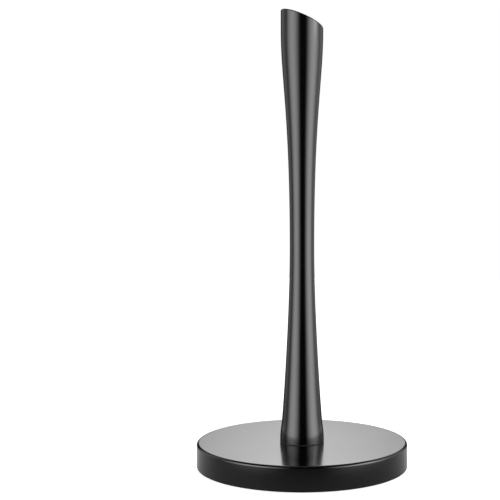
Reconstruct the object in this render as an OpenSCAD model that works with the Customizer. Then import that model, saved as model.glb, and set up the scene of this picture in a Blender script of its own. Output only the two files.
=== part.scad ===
// Counter-top paper towel holder: a weighted round base with a waisted post
// whose top is cut at a slant. The origin is the centre of the underside,
// +Z runs up the post and -Y is the front.

/* [Base] */
// Diameter of the base
base_d = 170; // [140:1:200]
// Height of the base's top face above the table
base_h = 21; // [17:0.5:30]
// Radius of the rounded edge round the top of the base
base_edge_r = 2; // [1.5:0.1:5]
// Sheet thickness of the drawn steel cover
cover_t = 1.2; // [0.8:0.1:1.4]
// Thickness of the cast-iron weight inside the cover
weight_t = 10; // [8:0.5:11]
// Chamfer on both edges of the weight
weight_edge = 1.5; // [1.2:0.1:3]
// Side clearance between the weight and the cover
weight_gap = 0.8; // [0.3:0.1:2]

/* [Bottom plate and pad] */
// Floor thickness of the moulded bottom plate
plate_floor_t = 1.8; // [1.2:0.1:2.4]
// Thickness of the bottom plate's outer wall, inner collar and ribs
plate_wall_t = 2; // [1.2:0.1:3]
// Number of radial ribs on the bottom plate
rib_count = 8; // [4:1:16]
// Side clearance between the bottom plate and the cover
plate_gap = 0.3; // [0.1:0.05:0.6]
// Diameter of the access hole under the clamp bolt
access_d = 26; // [25:0.5:34]
// Thickness of the non-slip pad
pad_t = 2; // [1.5:0.1:3]
// How far the pad stands out below the cover's rim
pad_proud = 0.9; // [0.5:0.1:1.4]
// Side clearance between the pad and the cover
pad_gap = 2.4; // [0.5:0.1:6]
// Number of round grooves in the pad
groove_count = 5; // [0:1:8]
// Radius of each groove's half-round section
groove_r = 0.5; // [0.3:0.05:0.7]

/* [Post] */
// Length of the post, from its foot to the highest point of the slanted top
post_h = 345.5; // [290:0.5:420]
// Diameter of the post at its foot
foot_d = 35.4; // [32:0.2:38]
// Diameter of the post at its waist
waist_d = 19.5; // [17:0.1:26]
// Diameter of the post at its top
top_d = 33.6; // [30:0.1:38]
// Height of the waist above the foot
waist_h = 156; // [130:0.5:180]
// Angle by which the post splays outwards towards its foot
foot_splay = 8.5; // [0:0.1:10]
// Length over which the foot turns upright again below that splay
foot_bend = 12; // [5:0.5:20]
// Length over which the post holds its splay above that bend, as a curve handle
foot_pull = 10; // [8:1:60]
// Length over which the waist stays straight below it, as a curve handle
waist_pull_down = 47; // [15:1:60]
// Length over which the waist stays straight above it, as a curve handle
waist_pull_up = 107; // [60:1:110]
// Length over which the top stays straight, as a curve handle
top_pull = 38; // [20:1:50]
// Wall thickness of the post's tube
tube_t = 1.5; // [1:0.1:2.5]

/* [Slanted top] */
// Tilt of the slanted top from level
cut_tilt = 24.5; // [0:0.5:35]
// Direction in which the slanted top falls away, from +X towards +Y
cut_azimuth = 26; // [-180:1:180]
// Thickness of the cap that closes the slanted top
cap_t = 2; // [1.8:0.1:4]
// Radius of the cap's rounded edge
cap_edge_r = 1.1; // [0.6:0.1:1.7]
// Depth of the cap's skirt inside the tube
skirt_h = 4; // [2:0.5:8]
// Wall thickness of the cap's skirt
skirt_t = 1.4; // [1:0.1:2.5]
// Side clearance of the skirt and the foot plate inside the tube
tube_fit = 0.1; // [0.05:0.05:0.3]

/* [Foot joint] */
// Thickness of the gasket between the post and the base
gasket_t = 0.5; // [0.4:0.1:1.5]
// How far the gasket's edge lies inside the post's edge
gasket_inset = 0.3; // [0.2:0.1:2]
// Thickness of the steel plate in the post's foot
foot_plate_t = 3; // [2:0.5:6]
// Thread diameter of the clamp bolt
bolt_d = 8; // [6:1:10]
// Clearance all round between the bolt and a plain hole
bolt_play = 0.5; // [0.2:0.1:1]
// Clearance all round between a screw and its thread
thread_gap = 0.05; // [0.02:0.01:0.1]
// Depth of the pocket for the bolt head in the weight
pocket_depth = 5; // [4:0.5:7]
// Outer diameter of the flat washer
washer_d = 24; // [20:0.5:24.5]
// Thickness of the flat washer
washer_t = 2; // [1:0.1:2.5]
// Outer diameter of the spring washer
spring_washer_d = 14.8; // [13:0.1:16]
// Thickness of the spring washer
spring_washer_t = 2; // [1:0.1:2.5]
// Width of the slit in the spring washer
spring_slit = 1.6; // [0.8:0.1:3]
// Lean of that slit from upright
slit_lean = 25; // [10:1:40]
// Length by which the bolt's end stays inside the nut
bolt_short = 0.5; // [0:0.1:2]

/* [Plate screws] */
// Number of screws that hold the bottom plate
screw_count = 4; // [3:1:6]
// Diameter of the circle that the screws lie on
screw_circle_d = 118; // [80:1:126]
// Thread diameter of the screws
screw_d = 4; // [3:0.5:5]
// Depth to which the screws enter the weight
screw_grip = 6; // [4:0.5:7]

/* [Hidden] */
$fn = 96;

// Facets round the cap
cap_fn = 48;
// Steps along each half of the post's outline
outline_steps = 22;
// Steps along the bend at the post's foot
bend_steps = 6;
// Steps round the cap's rounded edge
edge_steps = 5;
// Overlap where one shape is cut from another or joined to it
cut_extra = 1;

// Colours of the finishes
satin_black = [0.07, 0.07, 0.075];
bare_steel = [0.62, 0.63, 0.65];
dark_iron = [0.23, 0.23, 0.24];
moulded_black = [0.11, 0.11, 0.12];
rubber_black = [0.05, 0.05, 0.055];

// Heights of the pieces in the base, from the table up
pad_top = pad_t;
cover_bottom = pad_proud;
cover_under = base_h - cover_t;
weight_bottom = cover_under - weight_t;
plate_h = weight_bottom - pad_top;
post_bottom = base_h + gasket_t;
cover_r = base_d / 2;
cover_inner_r = cover_r - cover_t;

// Bolt stack, from the pocket's roof down to the head
pocket_roof = weight_bottom + pocket_depth;
washer_bottom = pocket_roof - washer_t;
spring_bottom = washer_bottom - spring_washer_t;
nut_across = 1.625 * bolt_d;
nut_h = 0.8 * bolt_d;
head_h = 0.66 * bolt_d;
nut_bottom = post_bottom + foot_plate_t;
bolt_hole_r = bolt_d / 2 + bolt_play;
thread_hole_r = bolt_d / 2 + thread_gap;
hex_scale = 1 / cos(30);
pocket_r = washer_d / 2 + bolt_play;
access_r = access_d / 2;

// Countersunk plate screws
screw_head_r = screw_d;
screw_head_h = 0.5 * screw_d;
boss_r = screw_head_r + plate_wall_t;

// Slanted top: its plane crosses the post's axis at this height, and the post is straight beside it
cut_height = post_bottom + post_h - tan(cut_tilt) * top_d / 2;
head_bottom = post_h - tan(cut_tilt) * top_d - cap_t / cos(cut_tilt);
half_space = 4 * top_d;

// Point at t along a cubic curve with four handles
function bezier(p, t) =
    pow(1 - t, 3) * p[0] + 3 * t * pow(1 - t, 2) * p[1] + 3 * t * t * (1 - t) * p[2] + pow(t, 3) * p[3];

// Handles, as radius and height, of the three curves up the side of the post: the bend at the
// foot, from there to the waist, and from the waist to the head
splay_rate = tan(foot_splay);
bend_top_r = foot_d / 2 - foot_bend / 2 * splay_rate;
bend_handles = [
    [foot_d / 2, 0],
    [foot_d / 2, foot_bend / 3],
    [bend_top_r + foot_bend / 3 * splay_rate, foot_bend * 2 / 3],
    [bend_top_r, foot_bend]
];
foot_handles = [
    [bend_top_r, foot_bend],
    [bend_top_r - foot_pull * splay_rate, foot_bend + foot_pull],
    [waist_d / 2, waist_h - waist_pull_down],
    [waist_d / 2, waist_h]
];
top_handles = [
    [waist_d / 2, waist_h],
    [waist_d / 2, waist_h + waist_pull_up],
    [top_d / 2, head_bottom - top_pull],
    [top_d / 2, head_bottom]
];
// Radius and height of each point down the side of the post
outline = concat(
    [for (i = [0:bend_steps - 1]) bezier(bend_handles, i / bend_steps)],
    [for (i = [0:outline_steps - 1]) bezier(foot_handles, i / outline_steps)],
    [for (i = [0:outline_steps]) bezier(top_handles, i / outline_steps)],
    [[top_d / 2, post_h]]
);

// Rings of the cap from the middle of its top round to its underside: how far each lies inside
// the post's outline, and how far above the slanted top
skirt_inset = tube_t + tube_fit;
cap_rings = concat(
    [for (i = [edge_steps:-1:0])
        [cap_edge_r * (1 - cos(90 * i / edge_steps)), cap_edge_r * (sin(90 * i / edge_steps) - 1)]],
    [
        [0, -cap_t],
        [skirt_inset, -cap_t],
        [skirt_inset, -cap_t - skirt_h],
        [skirt_inset + skirt_t, -cap_t - skirt_h],
        [skirt_inset + skirt_t, -cap_t]
    ]
);

// Point beside the slanted top, r from the post's axis and rise above the slanted plane
function slant_point(r, angle, rise) = [
    r * cos(angle),
    r * sin(angle),
    cut_height + rise / cos(cut_tilt) - tan(cut_tilt) * r * cos(angle - cut_azimuth)
];

// Solid inside the post's outline, moved in by a given amount
module post_form(inset) {
    translate([0, 0, post_bottom])
        rotate_extrude()
            polygon(concat([[0, 0]], [for (p = outline) [p[0] - inset, p[1]]], [[0, post_h]]));
}

// Tube that follows the post's outline, moved in by a given amount
module post_wall(inset, thickness) {
    translate([0, 0, post_bottom])
        rotate_extrude()
            polygon(concat(
                [for (p = outline) [p[0] - inset, p[1]]],
                [for (i = [len(outline) - 1:-1:0]) [outline[i][0] - inset - thickness, outline[i][1]]]
            ));
}

// Everything above the underside of the cap
module above_tube() {
    translate([0, 0, cut_height])
        rotate([0, 0, cut_azimuth])
            rotate([0, cut_tilt, 0])
                translate([-half_space / 2, -half_space / 2, -cap_t])
                    cube(half_space);
}

// Section of a flat dish or disc with its top edge rounded
module dish_section(r, h, edge_r) {
    square([r - edge_r, h]);
    square([r, h - edge_r]);
    translate([r - edge_r, h - edge_r])
        circle(r = edge_r);
}

module ring(outer_r, inner_r, h) {
    difference() {
        cylinder(r = outer_r, h = h);
        translate([0, 0, -cut_extra])
            cylinder(r = inner_r, h = h + 2 * cut_extra);
    }
}

// Places its children on the circle of the plate screws
module at_screws() {
    for (i = [0:screw_count - 1])
        rotate([0, 0, (i + 0.5) * 360 / screw_count])
            translate([screw_circle_d / 2, 0, 0])
                children();
}

module post_tube() {
    color(satin_black)
        difference() {
            post_wall(0, tube_t);
            above_tube();
        }
}

module post_cap() {
    last = len(cap_rings) - 1;
    top_centre = len(cap_rings) * cap_fn;
    color(satin_black)
        polyhedron(
            points = concat(
                [for (ring = cap_rings, i = [0:cap_fn - 1])
                    slant_point(top_d / 2 - ring[0], i * 360 / cap_fn, ring[1])],
                [slant_point(0, 0, 0), slant_point(0, 0, -cap_t)]
            ),
            faces = concat(
                [for (i = [0:cap_fn - 1]) [top_centre, (i + 1) % cap_fn, i]],
                [for (k = [0:last - 1], i = [0:cap_fn - 1])
                    [k * cap_fn + i, k * cap_fn + (i + 1) % cap_fn,
                        (k + 1) * cap_fn + (i + 1) % cap_fn, (k + 1) * cap_fn + i]],
                [for (i = [0:cap_fn - 1])
                    [top_centre + 1, last * cap_fn + i, last * cap_fn + (i + 1) % cap_fn]]
            )
        );
}

module post_foot_plate() {
    color(bare_steel)
        difference() {
            intersection() {
                post_form(tube_t + tube_fit);
                translate([0, 0, post_bottom])
                    cylinder(r = foot_d, h = foot_plate_t);
            }
            translate([0, 0, post_bottom - cut_extra])
                cylinder(r = thread_hole_r, h = foot_plate_t + 2 * cut_extra);
        }
}

module post_weld_nut() {
    color(bare_steel)
        translate([0, 0, nut_bottom])
            difference() {
                cylinder(d = nut_across * hex_scale, h = nut_h, $fn = 6);
                translate([0, 0, -cut_extra])
                    cylinder(r = thread_hole_r, h = nut_h + 2 * cut_extra);
            }
}

module foot_gasket() {
    color(rubber_black)
        translate([0, 0, base_h])
            ring(foot_d / 2 - gasket_inset, bolt_hole_r, gasket_t);
}

module base_cover() {
    rim_z = cover_bottom + cover_t / 2;
    wall_h = base_h - rim_z;
    inner_h = wall_h - cover_t + cut_extra;
    color(satin_black)
        difference() {
            translate([0, 0, rim_z])
                rotate_extrude() {
                    translate([cover_r - cover_t / 2, 0])
                        circle(d = cover_t);
                    difference() {
                        dish_section(cover_r, wall_h, base_edge_r);
                        translate([0, -cut_extra])
                            dish_section(cover_inner_r, inner_h, base_edge_r - cover_t);
                    }
                }
            translate([0, 0, cover_under - cut_extra])
                cylinder(r = bolt_hole_r, h = cover_t + 2 * cut_extra);
        }
}

module weight_disc() {
    disc_r = cover_inner_r - weight_gap;
    color(dark_iron)
        difference() {
            translate([0, 0, weight_bottom]) {
                cylinder(r1 = disc_r - weight_edge, r2 = disc_r, h = weight_edge);
                translate([0, 0, weight_edge])
                    cylinder(r = disc_r, h = weight_t - 2 * weight_edge);
                translate([0, 0, weight_t - weight_edge])
                    cylinder(r1 = disc_r, r2 = disc_r - weight_edge, h = weight_edge);
            }
            translate([0, 0, weight_bottom - cut_extra])
                cylinder(r = bolt_hole_r, h = weight_t + 2 * cut_extra);
            translate([0, 0, weight_bottom - cut_extra])
                cylinder(r = pocket_r, h = pocket_depth + cut_extra);
            at_screws()
                translate([0, 0, weight_bottom - cut_extra])
                    cylinder(r = screw_d / 2 + thread_gap, h = screw_grip + 2 * cut_extra);
        }
}

module bottom_plate() {
    plate_r = cover_inner_r - plate_gap;
    sink_r = screw_head_r + thread_gap;
    color(moulded_black)
        translate([0, 0, pad_top])
            difference() {
                union() {
                    ring(plate_r, access_r, plate_floor_t);
                    ring(plate_r, plate_r - plate_wall_t, plate_h);
                    ring(access_r + plate_wall_t, access_r, plate_h);
                    at_screws()
                        cylinder(r = boss_r, h = plate_h);
                    for (i = [0:rib_count - 1])
                        rotate([0, 0, i * 360 / rib_count])
                            translate([access_r + plate_wall_t / 2, -plate_wall_t / 2, 0])
                                cube([plate_r - access_r - plate_wall_t, plate_wall_t, plate_h]);
                }
                at_screws() {
                    translate([0, 0, -cut_extra])
                        cylinder(r = screw_d / 2 + bolt_play / 2, h = plate_h + 2 * cut_extra);
                    cylinder(r1 = sink_r, r2 = screw_d / 2 + thread_gap, h = screw_head_h);
                    translate([0, 0, -cut_extra])
                        cylinder(r = sink_r, h = cut_extra);
                }
            }
}

module non_slip_pad() {
    pad_r = cover_inner_r - pad_gap;
    color(rubber_black)
        rotate_extrude()
            difference() {
                translate([access_r, 0])
                    square([pad_r - access_r, pad_t]);
                for (i = [1:1:groove_count])
                    translate([access_r + i * (pad_r - access_r) / (groove_count + 1), 0])
                        circle(r = groove_r);
            }
}

module clamp_bolt() {
    color(bare_steel) {
        translate([0, 0, spring_bottom - cut_extra])
            cylinder(d = bolt_d, h = nut_bottom + nut_h - bolt_short - spring_bottom + cut_extra);
        translate([0, 0, spring_bottom - head_h])
            intersection() {
                cylinder(d = nut_across * hex_scale, h = head_h, $fn = 6);
                cylinder(r1 = nut_across / 2, r2 = nut_across / 2 + head_h / tan(30), h = head_h);
            }
    }
}

module flat_washer() {
    color(bare_steel)
        translate([0, 0, washer_bottom])
            ring(washer_d / 2, bolt_hole_r, washer_t);
}

module spring_washer() {
    color(bare_steel)
        translate([0, 0, spring_bottom])
            difference() {
                ring(spring_washer_d / 2, bolt_hole_r, spring_washer_t);
                rotate([slit_lean, 0, 0])
                    translate([0, -spring_slit / 2, -spring_washer_d])
                        cube([spring_washer_d, spring_slit, 3 * spring_washer_d]);
            }
}

module plate_screws() {
    slot_w = screw_d / 4;
    slot_h = 0.8 * screw_head_h;
    color(bare_steel)
        at_screws()
            translate([0, 0, pad_top])
                difference() {
                    union() {
                        cylinder(r1 = screw_head_r, r2 = screw_d / 2, h = screw_head_h);
                        cylinder(d = screw_d, h = plate_h + screw_grip);
                    }
                    for (turn = [0, 90])
                        rotate([0, 0, turn])
                            translate([-screw_d / 2, -slot_w / 2, -cut_extra])
                                cube([screw_d, slot_w, cut_extra + slot_h]);
                }
}

post_tube();
post_cap();
post_foot_plate();
post_weld_nut();
foot_gasket();
base_cover();
weight_disc();
bottom_plate();
non_slip_pad();
clamp_bolt();
flat_washer();
spring_washer();
plate_screws();
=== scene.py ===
import math

import bpy
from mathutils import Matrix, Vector


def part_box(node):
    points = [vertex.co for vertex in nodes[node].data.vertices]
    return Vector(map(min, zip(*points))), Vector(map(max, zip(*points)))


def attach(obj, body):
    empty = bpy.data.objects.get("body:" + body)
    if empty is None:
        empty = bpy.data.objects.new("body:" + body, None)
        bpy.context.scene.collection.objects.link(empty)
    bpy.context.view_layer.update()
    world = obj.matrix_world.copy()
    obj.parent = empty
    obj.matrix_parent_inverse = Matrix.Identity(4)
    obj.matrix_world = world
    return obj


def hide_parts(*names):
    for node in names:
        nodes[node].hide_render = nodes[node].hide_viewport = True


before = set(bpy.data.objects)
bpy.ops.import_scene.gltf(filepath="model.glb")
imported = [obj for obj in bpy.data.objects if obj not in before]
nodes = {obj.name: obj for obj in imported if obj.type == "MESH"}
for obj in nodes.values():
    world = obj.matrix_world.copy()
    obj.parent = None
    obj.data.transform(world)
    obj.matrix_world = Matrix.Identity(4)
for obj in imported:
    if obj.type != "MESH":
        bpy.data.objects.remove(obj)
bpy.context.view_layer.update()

mm = 0.001
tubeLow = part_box("post_tube")[0]
coverLow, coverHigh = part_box("base_cover")
padLow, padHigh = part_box("non_slip_pad")
print("frame loaded,", len(nodes), "nodes")


geometryKind = "NodeSocketGeometry"
numberKind = "NodeSocketFloat"
countKind = "NodeSocketInt"
materialKind = "NodeSocketMaterial"
weldReach = 1e-6              # points closer than a micrometre are one point


# small helpers for node trees

def setSocket(tree, socket, value):
    # a socket is linked, anything else is typed in
    if isinstance(value, bpy.types.NodeSocket):
        tree.links.new(value, socket)
    else:
        socket.default_value = value


def put(tree, kind, inputs=None, **settings):
    # adds a node, sets its options, then fills its inputs by name or by number
    node = tree.nodes.new(kind)
    for name, value in settings.items():
        setattr(node, name, value)
    for key, value in (inputs or {}).items():
        setSocket(tree, node.inputs[key], value)
    return node


def calc(tree, operation, a, b=0.0):
    return put(tree, "ShaderNodeMath", {0: a, 1: b}, operation=operation).outputs[0]


def vector(tree, x=0.0, y=0.0, z=0.0):
    return put(tree, "ShaderNodeCombineXYZ", {0: x, 1: y, 2: z}).outputs[0]


def separate(tree, value):
    return put(tree, "ShaderNodeSeparateXYZ", {0: value}).outputs


def position(tree):
    return put(tree, "GeometryNodeInputPosition").outputs[0]


def newTree(name, inputs):
    tree = bpy.data.node_groups.new(name, "GeometryNodeTree")
    for label, kind in inputs:
        tree.interface.new_socket(label, in_out="INPUT", socket_type=kind)
    tree.interface.new_socket("Geometry", in_out="OUTPUT", socket_type=geometryKind)
    source = tree.nodes.new("NodeGroupInput")
    return tree, source.outputs


def useTree(tree, group, inputs):
    node = tree.nodes.new("GeometryNodeGroup")
    node.node_tree = group
    for key, value in inputs.items():
        setSocket(tree, node.inputs[key], value)
    return node.outputs[0]


def endTree(tree, geometry):
    put(tree, "NodeGroupOutput", {0: geometry})


# node groups that the turned pieces share

def makeRevolve():
    # turns an outline of points (radius, 0, height) into a closed solid of revolution
    tree, given = newTree("revolve", [("Outline", geometryKind), ("Steps Round", countKind)])
    size = put(tree, "GeometryNodeAttributeDomainSize", {0: given["Outline"]}, component="MESH")
    count = size.outputs["Point Count"]
    columns = calc(tree, "ADD", given["Steps Round"], 1)
    grid = put(tree, "GeometryNodeMeshGrid", {"Vertices X": calc(tree, "ADD", count, 1),
                                              "Vertices Y": columns})
    index = put(tree, "GeometryNodeInputIndex").outputs[0]
    row = calc(tree, "FLOOR", calc(tree, "DIVIDE", calc(tree, "ADD", index, 0.5), columns))
    column = calc(tree, "SUBTRACT", index, calc(tree, "MULTIPLY", row, columns))
    sample = put(tree, "GeometryNodeSampleIndex", {
        "Geometry": given["Outline"],
        "Value": position(tree),
        "Index": calc(tree, "MODULO", row, count),
    }, data_type="FLOAT_VECTOR", domain="POINT")
    place = separate(tree, sample.outputs[0])
    angle = calc(tree, "MULTIPLY", calc(tree, "DIVIDE", column, given["Steps Round"]), 2 * math.pi)
    x = calc(tree, "MULTIPLY", place[0], calc(tree, "COSINE", angle))
    y = calc(tree, "MULTIPLY", place[0], calc(tree, "SINE", angle))
    moved = put(tree, "GeometryNodeSetPosition", {"Geometry": grid.outputs[0],
                                                  "Position": vector(tree, x, y, place[2])})
    merged = put(tree, "GeometryNodeMergeByDistance", {"Geometry": moved.outputs[0],
                                                       "Distance": weldReach})
    # faces outwards, and no bare edges left where the outline runs down the axis
    outwards = put(tree, "GeometryNodeFlipFaces", {"Mesh": merged.outputs[0]})
    faces = put(tree, "GeometryNodeInputMeshEdgeNeighbors").outputs["Face Count"]
    bare = put(tree, "FunctionNodeCompare", {2: faces, 3: 0}, data_type="INT", operation="EQUAL")
    clean = put(tree, "GeometryNodeDeleteGeometry", {"Geometry": outwards.outputs[0],
                                                     "Selection": bare.outputs[0]}, domain="EDGE")
    endTree(tree, clean.outputs[0])
    return tree


def makeFinish():
    # smooth faces, sharp edges past an angle, then real geometry with its material
    tree, given = newTree("finish", [("Mesh", geometryKind), ("Sharp Angle", numberKind),
                                     ("Material", materialKind)])
    smooth = put(tree, "GeometryNodeSetShadeSmooth", {"Geometry": given["Mesh"]}, domain="FACE")
    bend = put(tree, "GeometryNodeInputMeshEdgeAngle").outputs["Unsigned Angle"]
    sharp = put(tree, "FunctionNodeCompare", {0: bend, 1: given["Sharp Angle"]},
                data_type="FLOAT", operation="GREATER_THAN").outputs[0]
    edges = put(tree, "GeometryNodeSetShadeSmooth", {"Geometry": smooth.outputs[0], "Selection": sharp,
                                                     "Shade Smooth": False}, domain="EDGE")
    real = put(tree, "GeometryNodeRealizeInstances", {0: edges.outputs[0]})
    done = put(tree, "GeometryNodeSetMaterial", {"Geometry": real.outputs[0],
                                                 "Material": given["Material"]})
    endTree(tree, done.outputs[0])
    return tree


def makeSlant():
    # leans what lies above From Height, in full above To Height, so that level rings follow the cut
    tree, given = newTree("slant", [("Mesh", geometryKind), ("From Height", numberKind),
                                    ("To Height", numberKind), ("Cut Tilt", numberKind),
                                    ("Cut Azimuth", numberKind)])
    x, y, z = separate(tree, position(tree))
    along = calc(tree, "ADD", calc(tree, "MULTIPLY", x, calc(tree, "COSINE", given["Cut Azimuth"])),
                 calc(tree, "MULTIPLY", y, calc(tree, "SINE", given["Cut Azimuth"])))
    share = put(tree, "ShaderNodeMapRange", {"Value": z, "From Min": given["From Height"],
                                             "From Max": given["To Height"]}).outputs[0]
    drop = calc(tree, "MULTIPLY", calc(tree, "MULTIPLY", along, share),
                calc(tree, "TANGENT", given["Cut Tilt"]))
    rise = calc(tree, "MULTIPLY", drop, -1)
    moved = put(tree, "GeometryNodeSetPosition", {"Geometry": given["Mesh"],
                                                  "Offset": vector(tree, 0, 0, rise)})
    endTree(tree, moved.outputs[0])
    return tree


revolveGroup = makeRevolve()
finishGroup = makeFinish()
slantGroup = makeSlant()


def runTree(name, mesh, tree, values):
    # runs a tree on a mesh and keeps the result as a plain mesh
    host = bpy.data.objects.new(name + "Host", mesh)
    bpy.context.scene.collection.objects.link(host)
    modifier = host.modifiers.new("shape", "NODES")
    modifier.node_group = tree
    for item in tree.interface.items_tree:
        if item.item_type == "SOCKET" and item.in_out == "INPUT" and item.name in values:
            modifier[item.identifier] = values[item.name]
    graph = bpy.context.evaluated_depsgraph_get()
    result = bpy.data.meshes.new_from_object(host.evaluated_get(graph))
    bpy.data.objects.remove(host)
    result.name = name
    piece = bpy.data.objects.new(name, result)
    bpy.context.scene.collection.objects.link(piece)
    return piece


def outlineMesh(name, points):
    mesh = bpy.data.meshes.new(name)
    mesh.from_pydata([(r, 0, z) for r, z in points], [], [])
    return mesh


def roundCorners(corners, steps):
    # corners are (radius, height, rounding); each rounded one becomes an arc
    points = []
    count = len(corners)
    for i, (r, z, rounding) in enumerate(corners):
        if rounding == 0:
            points.append((r, z))
            continue
        before, after = corners[i - 1], corners[(i + 1) % count]
        inX, inZ = before[0] - r, before[1] - z
        outX, outZ = after[0] - r, after[1] - z
        inLength, outLength = math.hypot(inX, inZ), math.hypot(outX, outZ)
        inX, inZ, outX, outZ = inX / inLength, inZ / inLength, outX / outLength, outZ / outLength
        half = math.acos(max(-1, min(1, inX * outX + inZ * outZ))) / 2
        setBack = rounding / math.tan(half)
        midX, midZ = inX + outX, inZ + outZ
        midLength = math.hypot(midX, midZ)
        reach = rounding / math.sin(half)
        centreX, centreZ = r + midX / midLength * reach, z + midZ / midLength * reach
        startAngle = math.atan2(z + inZ * setBack - centreZ, r + inX * setBack - centreX)
        endAngle = math.atan2(z + outZ * setBack - centreZ, r + outX * setBack - centreX)
        turn = (endAngle - startAngle + math.pi) % (2 * math.pi) - math.pi
        for k in range(steps + 1):
            angle = startAngle + turn * k / steps
            points.append((centreX + rounding * math.cos(angle), centreZ + rounding * math.sin(angle)))
    return points


def makeTurned():
    tree, given = newTree("turned", [("Outline", geometryKind), ("Steps Round", countKind),
                                     ("From Height", numberKind), ("To Height", numberKind),
                                     ("Cut Tilt", numberKind), ("Cut Azimuth", numberKind),
                                     ("Sharp Angle", numberKind), ("Material", materialKind)])
    body = useTree(tree, revolveGroup, {"Outline": given["Outline"], "Steps Round": given["Steps Round"]})
    leaned = useTree(tree, slantGroup, {"Mesh": body, "From Height": given["From Height"],
                                        "To Height": given["To Height"], "Cut Tilt": given["Cut Tilt"],
                                        "Cut Azimuth": given["Cut Azimuth"]})
    endTree(tree, useTree(tree, finishGroup, {"Mesh": leaned, "Sharp Angle": given["Sharp Angle"],
                                              "Material": given["Material"]}))
    return tree


turnedTree = makeTurned()
sharpAngle = math.radians(40)


supportGap = 0.12 * mm
longSide = 8 * supportGap


def addSupports(points):
    # a point close to each end of every long side keeps the shading of flat faces flat
    held = []
    for i, (r, z) in enumerate(points):
        nextR, nextZ = points[(i + 1) % len(points)]
        length = math.hypot(nextR - r, nextZ - z)
        held.append((r, z))
        if length > longSide:
            share = supportGap / length
            held.append((r + (nextR - r) * share, z + (nextZ - z) * share))
            held.append((nextR - (nextR - r) * share, nextZ - (nextZ - z) * share))
    return held


def turnPiece(name, points, stepsRound, material, **slant):
    values = {"Steps Round": stepsRound, "Material": material, "Sharp Angle": sharpAngle,
              "From Height": 0.0, "To Height": 1.0, "Cut Tilt": 0.0, "Cut Azimuth": 0.0}
    values.update(slant)
    return runTree(name, outlineMesh(name + "Outline", addSupports(points)), turnedTree, values)


def newMaterial(name):
    material = bpy.data.materials.new(name)
    material.use_nodes = True
    tree = material.node_tree
    tree.nodes.clear()
    shader = tree.nodes.new("ShaderNodeBsdfPrincipled")
    out = tree.nodes.new("ShaderNodeOutputMaterial")
    tree.links.new(shader.outputs[0], out.inputs["Surface"])
    place = tree.nodes.new("ShaderNodeTexCoord").outputs["Object"]
    return material, tree, shader, place


def grain(tree, place, scale, detail=3.0, roughness=0.5):
    return put(tree, "ShaderNodeTexNoise", {"Vector": place, "Scale": scale, "Detail": detail,
                                            "Roughness": roughness}).outputs[0]


noiseLow, noiseHigh = 0.3, 0.7     # nearly all of a noise pattern's values lie between these


def spread(tree, value, low, high):
    return put(tree, "ShaderNodeMapRange", {"Value": value, "From Min": noiseLow, "From Max": noiseHigh,
                                            "To Min": low, "To Max": high}).outputs[0]


def shade(tree, value, dark, light):
    ramp = tree.nodes.new("ShaderNodeValToRGB")
    ramp.color_ramp.elements[0].color = (*dark, 1)
    ramp.color_ramp.elements[1].color = (*light, 1)
    ramp.color_ramp.elements[0].position = noiseLow
    ramp.color_ramp.elements[1].position = noiseHigh
    setSocket(tree, ramp.inputs[0], value)
    return ramp.outputs[0]


def relief(tree, height, strength, distance, under=None):
    inputs = {"Height": height, "Strength": strength, "Distance": distance}
    if under is not None:
        inputs["Normal"] = under
    return put(tree, "ShaderNodeBump", inputs).outputs[0]


coatLook = {
    "dark": (0.0005, 0.0005, 0.0005),
    "light": (0.0010, 0.0010, 0.0010),
    "smooth": 0.14,           # roughness where the coat is smoothest
    "rough": 0.19,
    "peelScale": 420.0,       # orange peel, waves per metre
    "peelDepth": 0.02 * mm,
    "speckScale": 2600.0,
    "speckDepth": 0.004 * mm,
}


def makeCoat():
    material, tree, shader, place = newMaterial("satinBlackCoat")
    cloud = grain(tree, place, 14.0, 5.0, 0.6)       # handling marks, some centimetres wide
    speck = grain(tree, place, coatLook["speckScale"], 2.0)
    peel = grain(tree, place, coatLook["peelScale"], 2.0)
    setSocket(tree, shader.inputs["Base Color"], shade(tree, speck, coatLook["dark"], coatLook["light"]))
    setSocket(tree, shader.inputs["Roughness"], spread(tree, cloud, coatLook["smooth"], coatLook["rough"]))
    waves = relief(tree, peel, 0.3, coatLook["peelDepth"])
    setSocket(tree, shader.inputs["Normal"], relief(tree, speck, 0.3, coatLook["speckDepth"], waves))
    shader.inputs["IOR"].default_value = 1.5
    return material


def makeRubber():
    material, tree, shader, place = newMaterial("blackRubber")
    dust = grain(tree, place, 60.0, 6.0, 0.65)
    pores = grain(tree, place, 1400.0, 3.0)
    colour = shade(tree, dust, (0.011, 0.011, 0.0115), (0.024, 0.024, 0.024))
    setSocket(tree, shader.inputs["Base Color"], colour)
    setSocket(tree, shader.inputs["Roughness"], spread(tree, dust, 0.62, 0.82))
    setSocket(tree, shader.inputs["Normal"], relief(tree, pores, 0.5, 0.05 * mm))
    return material


def makePlastic():
    material, tree, shader, place = newMaterial("mouldedPlastic")
    texture = grain(tree, place, 1100.0, 3.0)
    patch = grain(tree, place, 30.0, 4.0)
    colour = shade(tree, patch, (0.014, 0.014, 0.015), (0.022, 0.022, 0.023))
    setSocket(tree, shader.inputs["Base Color"], colour)
    setSocket(tree, shader.inputs["Roughness"], spread(tree, patch, 0.48, 0.6))
    setSocket(tree, shader.inputs["Normal"], relief(tree, texture, 0.35, 0.04 * mm))
    return material


def makeIron():
    material, tree, shader, place = newMaterial("castIron")
    sand = grain(tree, place, 700.0, 8.0, 0.7)
    patch = grain(tree, place, 25.0, 6.0, 0.6)
    colour = shade(tree, patch, (0.045, 0.043, 0.042), (0.12, 0.115, 0.11))
    setSocket(tree, shader.inputs["Base Color"], colour)
    setSocket(tree, shader.inputs["Roughness"], spread(tree, sand, 0.55, 0.8))
    setSocket(tree, shader.inputs["Normal"], relief(tree, sand, 0.7, 0.25 * mm))
    shader.inputs["Metallic"].default_value = 0.8
    return material


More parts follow.
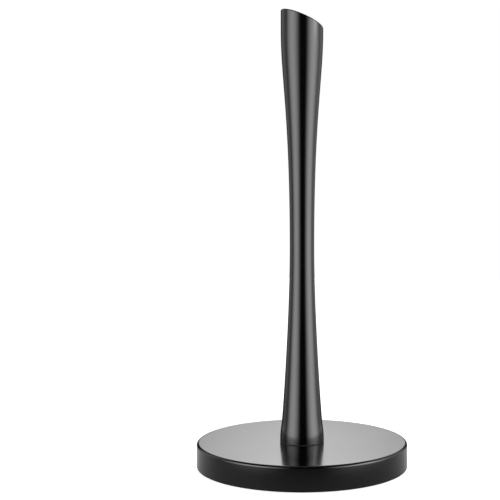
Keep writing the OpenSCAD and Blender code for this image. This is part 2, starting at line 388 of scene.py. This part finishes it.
def makeSteel(name, dark, light, smooth, rough):
    material, tree, shader, place = newMaterial(name)
    turned = put(tree, "ShaderNodeMapping", {"Vector": place, "Scale": (1, 1, 30)}).outputs[0]
    lines = grain(tree, turned, 260.0, 4.0, 0.6)     # fine lines left by the tool
    patch = grain(tree, place, 90.0, 5.0, 0.6)
    setSocket(tree, shader.inputs["Base Color"], shade(tree, patch, dark, light))
    setSocket(tree, shader.inputs["Roughness"], spread(tree, lines, smooth, rough))
    setSocket(tree, shader.inputs["Normal"], relief(tree, lines, 0.2, 0.02 * mm))
    shader.inputs["Metallic"].default_value = 1.0
    return material


coat = makeCoat()
rubber = makeRubber()
plastic = makePlastic()
iron = makeIron()
zincSteel = makeSteel("zincSteel", (0.50, 0.52, 0.55), (0.66, 0.67, 0.69), 0.26, 0.42)
bareSteel = makeSteel("bareSteel", (0.33, 0.33, 0.34), (0.48, 0.48, 0.49), 0.34, 0.52)
print("materials made")


postSize = {
    "length": 345.5 * mm,         # foot to the highest point of the slanted top
    "footRadius": 17.7 * mm,
    "footBend": 12 * mm,          # the foot turns upright over this length
    "waistRadius": 9.75 * mm,
    "topRadius": 16.8 * mm,
    "waistHeight": 156 * mm,
    "footSplay": math.radians(8.5),
    "footPull": 10 * mm,
    "waistPullDown": 47 * mm,
    "waistPullUp": 107 * mm,
    "topPull": 38 * mm,
    "wall": 1.5 * mm,
    "stepsRound": 160,
    "stepsUp": 60,                # along each half of the outline
    "stepsBend": 12,
}
cutSize = {
    "tilt": math.radians(24.5),
    "azimuth": math.radians(26),
    "capThick": 2 * mm,
    "edgeRound": 1.1 * mm,
    "skirtDeep": 4 * mm,
    "skirtWall": 1.4 * mm,
    "skirtGap": 0.1 * mm,
    "sink": 0.02 * mm,            # keeps the finer rim inside the box of the faceted one
    "edgeSteps": 10,
    "leanedFrom": 1 * mm,         # the whole cap lies above this height, so all of it leans
}
footZ = tubeLow.z
cutRise = math.tan(cutSize["tilt"])
cutHeight = footZ + postSize["length"] - cutRise * postSize["topRadius"]
tubeTop = cutHeight - cutSize["capThick"] / math.cos(cutSize["tilt"])
headZ = tubeTop - cutRise * postSize["topRadius"]


def makePostTree():
    labels = ["Foot Radius", "Foot Bend", "Foot Splay", "Foot Pull", "Waist Radius", "Waist Height",
              "Waist Pull Down", "Waist Pull Up", "Top Radius", "Top Pull", "Foot Height", "Head Height",
              "Tube Top", "Wall", "Cut Tilt", "Cut Azimuth", "Sharp Angle"]
    tree, given = newTree("waistedPost", [("Geometry", geometryKind)]
                          + [(label, numberKind) for label in labels]
                          + [("Steps Up", countKind), ("Steps Bend", countKind), ("Steps Round", countKind),
                             ("Material", materialKind)])
    footR, waistR, topR = given["Foot Radius"], given["Waist Radius"], given["Top Radius"]
    waistZ = calc(tree, "ADD", given["Foot Height"], given["Waist Height"])
    bendZ = calc(tree, "ADD", given["Foot Height"], given["Foot Bend"])
    rate = calc(tree, "TANGENT", given["Foot Splay"])
    third = calc(tree, "DIVIDE", given["Foot Bend"], 3)
    drift = calc(tree, "MULTIPLY", third, rate)
    bendR = calc(tree, "SUBTRACT", footR, calc(tree, "MULTIPLY", drift, 1.5))
    splayed = calc(tree, "SUBTRACT", bendR, calc(tree, "MULTIPLY", given["Foot Pull"], rate))
    bend = put(tree, "GeometryNodeCurvePrimitiveBezierSegment", {
        "Resolution": given["Steps Bend"],
        "Start": vector(tree, footR, 0, given["Foot Height"]),
        "Start Handle": vector(tree, footR, 0, calc(tree, "ADD", given["Foot Height"], third)),
        "End Handle": vector(tree, calc(tree, "ADD", bendR, drift), 0, calc(tree, "SUBTRACT", bendZ, third)),
        "End": vector(tree, bendR, 0, bendZ),
    }, mode="POSITION")
    lower = put(tree, "GeometryNodeCurvePrimitiveBezierSegment", {
        "Resolution": given["Steps Up"],
        "Start": vector(tree, bendR, 0, bendZ),
        "Start Handle": vector(tree, splayed, 0, calc(tree, "ADD", bendZ, given["Foot Pull"])),
        "End Handle": vector(tree, waistR, 0, calc(tree, "SUBTRACT", waistZ, given["Waist Pull Down"])),
        "End": vector(tree, waistR, 0, waistZ),
    }, mode="POSITION")
    upper = put(tree, "GeometryNodeCurvePrimitiveBezierSegment", {
        "Resolution": given["Steps Up"],
        "Start": vector(tree, waistR, 0, waistZ),
        "Start Handle": vector(tree, waistR, 0, calc(tree, "ADD", waistZ, given["Waist Pull Up"])),
        "End Handle": vector(tree, topR, 0, calc(tree, "SUBTRACT", given["Head Height"], given["Top Pull"])),
        "End": vector(tree, topR, 0, given["Head Height"]),
    }, mode="POSITION")
    head = put(tree, "GeometryNodeCurvePrimitiveLine", {
        "Start": vector(tree, topR, 0, given["Head Height"]),
        "End": vector(tree, topR, 0, given["Tube Top"]),
    }, mode="POINTS")
    # the outside of the post as points, foot first: sorted by height so that their order is sure
    joined = tree.nodes.new("GeometryNodeJoinGeometry")
    for part in (bend, lower, upper, head):
        tree.links.new(part.outputs[0], joined.inputs[0])
    edges = put(tree, "GeometryNodeCurveToMesh", {0: joined.outputs[0]}).outputs[0]
    height = separate(tree, position(tree))[2]
    ordered = put(tree, "GeometryNodeSortElements", {"Geometry": edges, "Sort Weight": height},
                  domain="POINT").outputs[0]
    welded = put(tree, "GeometryNodeMergeByDistance", {"Geometry": ordered,
                                                       "Distance": weldReach}).outputs[0]
    size = put(tree, "GeometryNodeAttributeDomainSize", {0: welded}, component="MESH")
    count = size.outputs["Point Count"]
    # a line with twice as many points: up the outside, then down the inside
    double = calc(tree, "MULTIPLY", count, 2)
    line = put(tree, "GeometryNodeMeshLine", {"Count": double}).outputs[0]
    index = put(tree, "GeometryNodeInputIndex").outputs[0]
    inside = calc(tree, "GREATER_THAN", calc(tree, "ADD", index, 0.5), count)
    mirrored = calc(tree, "SUBTRACT", calc(tree, "SUBTRACT", double, 1), index)
    picked = calc(tree, "ADD", calc(tree, "MULTIPLY", inside, mirrored),
                  calc(tree, "MULTIPLY", calc(tree, "SUBTRACT", 1, inside), index))
    sample = put(tree, "GeometryNodeSampleIndex", {
        "Geometry": welded,
        "Value": position(tree),
        "Index": picked,
    }, data_type="FLOAT_VECTOR", domain="POINT")
    inward = vector(tree, calc(tree, "MULTIPLY", inside, calc(tree, "MULTIPLY", given["Wall"], -1)))
    place = put(tree, "ShaderNodeVectorMath", {0: sample.outputs[0], 1: inward}, operation="ADD").outputs[0]
    outline = put(tree, "GeometryNodeSetPosition", {"Geometry": line, "Position": place}).outputs[0]
    body = useTree(tree, revolveGroup, {"Outline": outline, "Steps Round": given["Steps Round"]})
    leaned = useTree(tree, slantGroup, {"Mesh": body, "From Height": given["Head Height"],
                                        "To Height": given["Tube Top"], "Cut Tilt": given["Cut Tilt"],
                                        "Cut Azimuth": given["Cut Azimuth"]})
    endTree(tree, useTree(tree, finishGroup, {"Mesh": leaned, "Sharp Angle": given["Sharp Angle"],
                                              "Material": given["Material"]}))
    return tree


def buildPost():
    values = {
        "Foot Radius": postSize["footRadius"], "Foot Bend": postSize["footBend"],
        "Foot Splay": postSize["footSplay"], "Foot Pull": postSize["footPull"],
        "Waist Radius": postSize["waistRadius"],
        "Waist Height": postSize["waistHeight"], "Waist Pull Down": postSize["waistPullDown"],
        "Waist Pull Up": postSize["waistPullUp"], "Top Radius": postSize["topRadius"],
        "Top Pull": postSize["topPull"], "Foot Height": footZ, "Head Height": headZ,
        "Tube Top": tubeTop, "Wall": postSize["wall"], "Cut Tilt": cutSize["tilt"],
        "Cut Azimuth": cutSize["azimuth"], "Sharp Angle": sharpAngle,
        "Steps Up": postSize["stepsUp"], "Steps Bend": postSize["stepsBend"],
        "Steps Round": postSize["stepsRound"], "Material": coat,
    }
    return runTree("postTube", bpy.data.meshes.new("postSeed"), makePostTree(), values)


def buildCap():
    # drawn level round the axis, with heights along the post, then leaned with the cut
    slope = 1 / math.cos(cutSize["tilt"])
    outer = postSize["topRadius"]
    skirtOuter = outer - postSize["wall"] - cutSize["skirtGap"]
    skirtInner = skirtOuter - cutSize["skirtWall"]
    under = cutHeight - cutSize["capThick"] * slope
    skirtEnd = cutHeight - (cutSize["capThick"] + cutSize["skirtDeep"]) * slope
    edge = cutSize["edgeRound"]
    steps = cutSize["edgeSteps"]
    face = cutHeight - cutSize["sink"]
    points = [(0, under), (skirtInner, under), (skirtInner, skirtEnd), (skirtOuter, skirtEnd),
              (skirtOuter, under), (outer, under)]
    for k in range(steps + 1):
        angle = math.pi / 2 * k / steps
        points.append((outer - edge * (1 - math.cos(angle)),
                       face + edge * (math.sin(angle) - 1) * slope))
    points.append((0, face))
    lean = {"From Height": 0.0, "To Height": cutSize["leanedFrom"], "Cut Tilt": cutSize["tilt"],
            "Cut Azimuth": cutSize["azimuth"]}
    return turnPiece("postCap", points, postSize["stepsRound"], coat, **lean)


postTube = buildPost()
postCap = buildCap()
print("post built:", len(postTube.data.vertices), "points, cap", len(postCap.data.vertices))


coverSize = {
    "edgeRound": 2 * mm,
    "rimRound": 0.6 * mm,
    "rimFlat": 0.001 * mm,        # left between the two lower roundings, so they never meet
    "cornerSteps": 10,
    "sheet": 1.2 * mm,
    "boltHole": 4.5 * mm,
    "stepsRound": 256,
}


def buildCover():
    outer = coverHigh.x
    top = coverHigh.z
    low = coverLow.z
    sheet = coverSize["sheet"]
    rim = coverSize["rimRound"] - coverSize["rimFlat"]
    corners = [
        (coverSize["boltHole"], top - sheet, 0),
        (outer - sheet, top - sheet, coverSize["edgeRound"] - sheet),
        (outer - sheet, low, rim),
        (outer, low, rim),
        (outer, top, coverSize["edgeRound"]),
        (coverSize["boltHole"], top, 0),
    ]
    outline = roundCorners(corners, coverSize["cornerSteps"])
    return turnPiece("baseCover", outline, coverSize["stepsRound"], coat)


padSize = {
    "grooves": 5,
    "grooveRadius": 0.5 * mm,
    "edgeRound": 0.25 * mm,
    "edgeSteps": 4,
    "grooveSteps": 8,
    "hole": 13 * mm,
    "stepsRound": 200,
}


def buildPad():
    outer, top, low = padHigh.x, padHigh.z, padLow.z
    hole = padSize["hole"]
    edge = padSize["edgeRound"]
    corners = [(hole, low, edge), (hole, top, 0), (outer, top, 0), (outer, low, edge)]
    points = roundCorners(corners, padSize["edgeSteps"])
    # grooves come in after the outer lower edge, from the outside in
    grooves = []
    gap = (outer - hole) / (padSize["grooves"] + 1)
    for i in range(padSize["grooves"], 0, -1):
        middle = hole + i * gap
        for k in range(padSize["grooveSteps"] + 1):
            angle = math.pi * k / padSize["grooveSteps"]
            grooves.append((middle + padSize["grooveRadius"] * math.cos(angle),
                            low + padSize["grooveRadius"] * math.sin(angle)))
    return turnPiece("nonSlipPad", list(reversed(points + grooves)), padSize["stepsRound"], rubber)


screwSize = {
    "count": 4,
    "circle": 59 * mm,
    "headRadius": 4 * mm,
    "shankRadius": 2 * mm,
    "headHeight": 2 * mm,
    "threadDepth": 0.22 * mm,
    "pitch": 0.7 * mm,
    "point": 0.3 * mm,            # bevel at the end of the thread
    "slotLength": 4 * mm,
    "slotWidth": 1 * mm,
    "slotDepth": 1.6 * mm,
    "stepsRound": 48,
}


def makeScrewTree():
    # one screw turned from its outline, cross slot cut in its head, then placed round a circle
    labels = ["Circle Radius", "Head Bottom", "Slot Length", "Slot Width", "Slot Depth", "Sharp Angle"]
    tree, given = newTree("screwsOnCircle", [("Outline", geometryKind), ("Count", countKind),
                                             ("Steps Round", countKind), ("Material", materialKind)]
                          + [(label, numberKind) for label in labels])
    body = useTree(tree, revolveGroup, {"Outline": given["Outline"], "Steps Round": given["Steps Round"]})
    slotHeight = calc(tree, "MULTIPLY", given["Slot Depth"], 2)
    cut = put(tree, "GeometryNodeMeshBoolean", {"Mesh 1": body}, operation="DIFFERENCE", solver="MANIFOLD")
    for turn in (0.0, math.pi / 2):
        slot = put(tree, "GeometryNodeMeshCube", {
            "Size": vector(tree, given["Slot Length"], given["Slot Width"], slotHeight)})
        placed = put(tree, "GeometryNodeTransform", {
            "Geometry": slot.outputs[0], "Translation": vector(tree, 0, 0, given["Head Bottom"]),
            "Rotation": (0, 0, turn)})
        tree.links.new(placed.outputs[0], cut.inputs["Mesh 2"])
    index = put(tree, "GeometryNodeInputIndex").outputs[0]
    share = calc(tree, "DIVIDE", calc(tree, "ADD", index, 0.5), given["Count"])
    angle = calc(tree, "MULTIPLY", share, 2 * math.pi)
    x = calc(tree, "MULTIPLY", given["Circle Radius"], calc(tree, "COSINE", angle))
    y = calc(tree, "MULTIPLY", given["Circle Radius"], calc(tree, "SINE", angle))
    points = put(tree, "GeometryNodePoints", {"Count": given["Count"], "Position": vector(tree, x, y)})
    screws = put(tree, "GeometryNodeInstanceOnPoints", {
        "Points": points.outputs[0], "Instance": cut.outputs[0], "Rotation": vector(tree, 0, 0, angle)})
    endTree(tree, useTree(tree, finishGroup, {"Mesh": screws.outputs[0], "Sharp Angle": given["Sharp Angle"],
                                              "Material": given["Material"]}))
    return tree


def buildScrews():
    low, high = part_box("plate_screws")
    shank = screwSize["shankRadius"]
    root = shank - screwSize["threadDepth"]
    points = [(0, low.z), (screwSize["headRadius"], low.z), (shank, low.z + screwSize["headHeight"])]
    z = low.z + screwSize["headHeight"] + screwSize["pitch"]
    while z < high.z - screwSize["pitch"]:
        points += [(root, z), (shank, z + screwSize["pitch"] / 2)]
        z += screwSize["pitch"]
    point = screwSize["point"]
    points += [(root, high.z - point), (root - point, high.z), (0, high.z)]
    values = {
        "Count": screwSize["count"], "Steps Round": screwSize["stepsRound"], "Material": zincSteel,
        "Circle Radius": screwSize["circle"], "Head Bottom": low.z, "Sharp Angle": sharpAngle,
        "Slot Length": screwSize["slotLength"], "Slot Width": screwSize["slotWidth"],
        "Slot Depth": screwSize["slotDepth"],
    }
    return runTree("plateScrews", outlineMesh("screwOutline", points), makeScrewTree(), values)


baseCover = buildCover()
nonSlipPad = buildPad()
plateScrews = buildScrews()
print("base built:", len(baseCover.data.vertices), "points, pad", len(nonSlipPad.data.vertices))

for piece, name, slot in [(postTube, "post_tube", "satin_black"), (postCap, "post_cap", "satin_black"),
                          (baseCover, "base_cover", "satin_black"), (nonSlipPad, "non_slip_pad", "rubber"),
                          (plateScrews, "plate_screws", "zinc_steel")]:
    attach(piece, "root")
    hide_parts(name)


# pieces whose CAD shape stays

finishes = {
    "post_foot_plate": bareSteel, "post_weld_nut": bareSteel, "foot_gasket": rubber,
    "weight_disc": iron, "bottom_plate": plastic, "clamp_bolt": zincSteel,
    "flat_washer": zincSteel, "spring_washer": zincSteel,
}
for name, material in finishes.items():
    mesh = nodes[name].data
    if not mesh.materials:
        mesh.materials.append(material)
    for slotIndex in range(len(mesh.materials)):
        mesh.materials[slotIndex] = material
print("carried pieces finished")


# each upright soft panel: azimuth, distance, half width, lowest and highest edge in metres, brightness in
# the middle, and how far in from the sides and from top and bottom it fades (0.5 is all the way);
# azimuth 0 is towards the camera and 90 to the right
panels = {
    "leftPanel": (-54, 1.5, 1.46, -0.30, 0.90, 5.5, 0.5, 0.05),
    "rightPanel": (66, 1.5, 1.50, -0.30, 0.90, 5.9, 0.5, 0.05),
    "rightHot": (76, 1.5, 0.40, 0.40, 0.90, 5.5, 0.5, 0.2),
    "leftFill": (-118, 1.5, 1.00, -0.30, 1.90, 0.75, 0.4, 0.1),
    "rightFill": (122, 1.5, 1.00, -0.30, 1.90, 0.85, 0.4, 0.1),
    "backGlow": (180, 2.6, 0.80, 0.02, 2.66, 3.9, 0.5, 0.5),
}
# overhead panels: distance behind the axis, height, width, depth, brightness and the two fades
overhead = {
    "backOverhead": (1.10, 1.75, 1.8, 0.9, 1.4, 0.4, 0.3),
    "topOverhead": (0.0, 1.90, 1.4, 1.2, 0.8, 0.4, 0.3),
}
aim = Vector((0, 0, 0.02))


def fade(tree, across, reach):
    # 0 at both ends of a panel, 1 in its middle part
    fromEdge = calc(tree, "SUBTRACT", 0.5, calc(tree, "ABSOLUTE", calc(tree, "SUBTRACT", across, 0.5)))
    ramp = put(tree, "ShaderNodeMapRange", {"Value": fromEdge, "From Max": reach},
               interpolation_type="SMOOTHSTEP")
    return ramp.outputs[0]


def addPanel(name, location, width, height, brightness, sideFade, endFade):
    light = bpy.data.lights.new(name, "AREA")
    light.shape = "RECTANGLE"
    light.size = width
    light.size_y = height
    light.energy = brightness * math.pi * width * height
    light.use_nodes = True
    tree = light.node_tree
    surface = tree.nodes.new("ShaderNodeNewGeometry").outputs["Parametric"]
    across = separate(tree, surface)
    profile = calc(tree, "MULTIPLY", fade(tree, across[0], sideFade), fade(tree, across[1], endFade))
    tree.links.new(profile, tree.nodes["Emission"].inputs["Strength"])
    lamp = bpy.data.objects.new(name, light)
    lamp.location = location
    lamp.visible_camera = False
    bpy.context.scene.collection.objects.link(lamp)
    return lamp


for name, (azimuth, distance, halfWidth, lowest, highest, *glow) in panels.items():
    angle = math.radians(azimuth)
    middle = (distance * math.sin(angle), -distance * math.cos(angle), (lowest + highest) / 2)
    lamp = addPanel(name, middle, 2 * halfWidth, highest - lowest, *glow)
    lamp.rotation_euler = (math.radians(90), 0, angle)
for name, (behind, height, width, depth, *glow) in overhead.items():
    middle = Vector((0, behind, height))
    lamp = addPanel(name, middle, width, depth, *glow)
    lamp.rotation_euler = (aim - middle).to_track_quat("-Z", "Y").to_euler()


stageSize = {
    "floorRadius": 1.35,
    "cardRadius": 0.17,
    "floorHeight": -0.2 * mm,     # just under the pad
    "cardHeight": -0.1 * mm,      # between the two
    "paintedFrontShade": 0.11,            # the card's glow at its front and back edges, a painted reflection: dim at the front as painted shade of the table there
    "backGlow": 0.85,
    "mottle": 1.004,              # how much paler the floor's pale patches are
    "stepsRound": 96,
}


def mattGlow(tree, shader, glow):
    shader.inputs["Roughness"].default_value = 0.9
    shader.inputs["Specular IOR Level"].default_value = 0.0
    shader.inputs["Emission Color"].default_value = (1, 1, 1, 1)
    setSocket(tree, shader.inputs["Emission Strength"], glow)


def stageMaterial(name, colour, glow):
    material, tree, shader, place = newMaterial(name)
    mottle = grain(tree, place, 3.0, 3.0)
    light = tuple(c * stageSize["mottle"] for c in colour)
    setSocket(tree, shader.inputs["Base Color"], shade(tree, mottle, colour, light))
    mattGlow(tree, shader, glow)
    return material


def paintedReflectionMaterial():
    # painted reflection for the base's wall to mirror: a glowing card in place of the table, dim in front of
    # it as painted shade, paler towards the back
    material, tree, shader, place = newMaterial("paintedTableReflection")
    back = separate(tree, place)[1]
    mottle = grain(tree, place, 12.0, 3.0)
    reach = stageSize["cardRadius"]
    # painted reflection: the glow runs from dim at the front (painted shade) to pale at the back
    glow = put(tree, "ShaderNodeMapRange", {
        "Value": back, "From Min": -reach, "From Max": reach,
        "To Min": stageSize["paintedFrontShade"], "To Max": stageSize["backGlow"]}).outputs[0]
    setSocket(tree, shader.inputs["Base Color"], shade(tree, mottle, (0.02, 0.02, 0.02), (0.03, 0.03, 0.03)))
    mattGlow(tree, shader, glow)
    return material


def disc(name, radius, height, material):
    mesh = bpy.data.meshes.new(name)
    steps = stageSize["stepsRound"]
    angles = [2 * math.pi * i / steps for i in range(steps)]
    ring = [(radius * math.cos(angle), radius * math.sin(angle), height) for angle in angles]
    mesh.from_pydata(ring, [], [list(range(steps))])
    mesh.materials.append(material)
    piece = bpy.data.objects.new(name, mesh)
    bpy.context.scene.collection.objects.link(piece)
    return piece


white = stageMaterial("paleFloor", (0.9, 0.9, 0.9), 0.8)
floor = disc("floor", stageSize["floorRadius"], stageSize["floorHeight"], white)
floor.visible_glossy = False
floor.visible_shadow = False
# a glowing card that is no lamp: a painted reflection of the table, seen only in glossy reflections
card = disc("paintedReflectionCard", stageSize["cardRadius"], stageSize["cardHeight"], paintedReflectionMaterial())
card.visible_camera = False
card.visible_diffuse = False
card.visible_shadow = False

worldGlow = {"inReflections": 0.004, "behindObject": 1.0}
world = bpy.data.worlds.new("studio")
world.use_nodes = True
worldTree = world.node_tree
sky = worldTree.nodes["Background"]
path = worldTree.nodes.new("ShaderNodeLightPath")
amount = worldTree.nodes.new("ShaderNodeMapRange")
amount.inputs["To Min"].default_value = worldGlow["inReflections"]
amount.inputs["To Max"].default_value = worldGlow["behindObject"]
worldTree.links.new(path.outputs["Is Camera Ray"], amount.inputs["Value"])
worldTree.links.new(amount.outputs[0], sky.inputs["Strength"])
sky.inputs["Color"].default_value = (1, 1, 1, 1)
bpy.context.scene.world = world
bpy.context.scene.view_settings.view_transform = "Standard"

cameraSetup = {
    "distance": 1.15,
    "height": 0.2848,
    "pitch": math.radians(5.39),
    "focal": 104.04,          # millimetres, as the sensor's width is
    "sensor": 36,
    "shift": -0.1040,
    "nearest": 0.05,          # what is drawn lies between these distances
    "farthest": 50,
}
lens = bpy.data.cameras.new("camera")
lens.lens = cameraSetup["focal"]
lens.sensor_width = cameraSetup["sensor"]
lens.shift_x = cameraSetup["shift"]
lens.clip_start = cameraSetup["nearest"]
lens.clip_end = cameraSetup["farthest"]
camera = bpy.data.objects.new("camera", lens)
camera.location = (0, -cameraSetup["distance"], cameraSetup["height"])
camera.rotation_euler = (math.pi / 2 - cameraSetup["pitch"], 0, 0)
bpy.context.scene.collection.objects.link(camera)
bpy.context.scene.camera = camera
print("studio set")
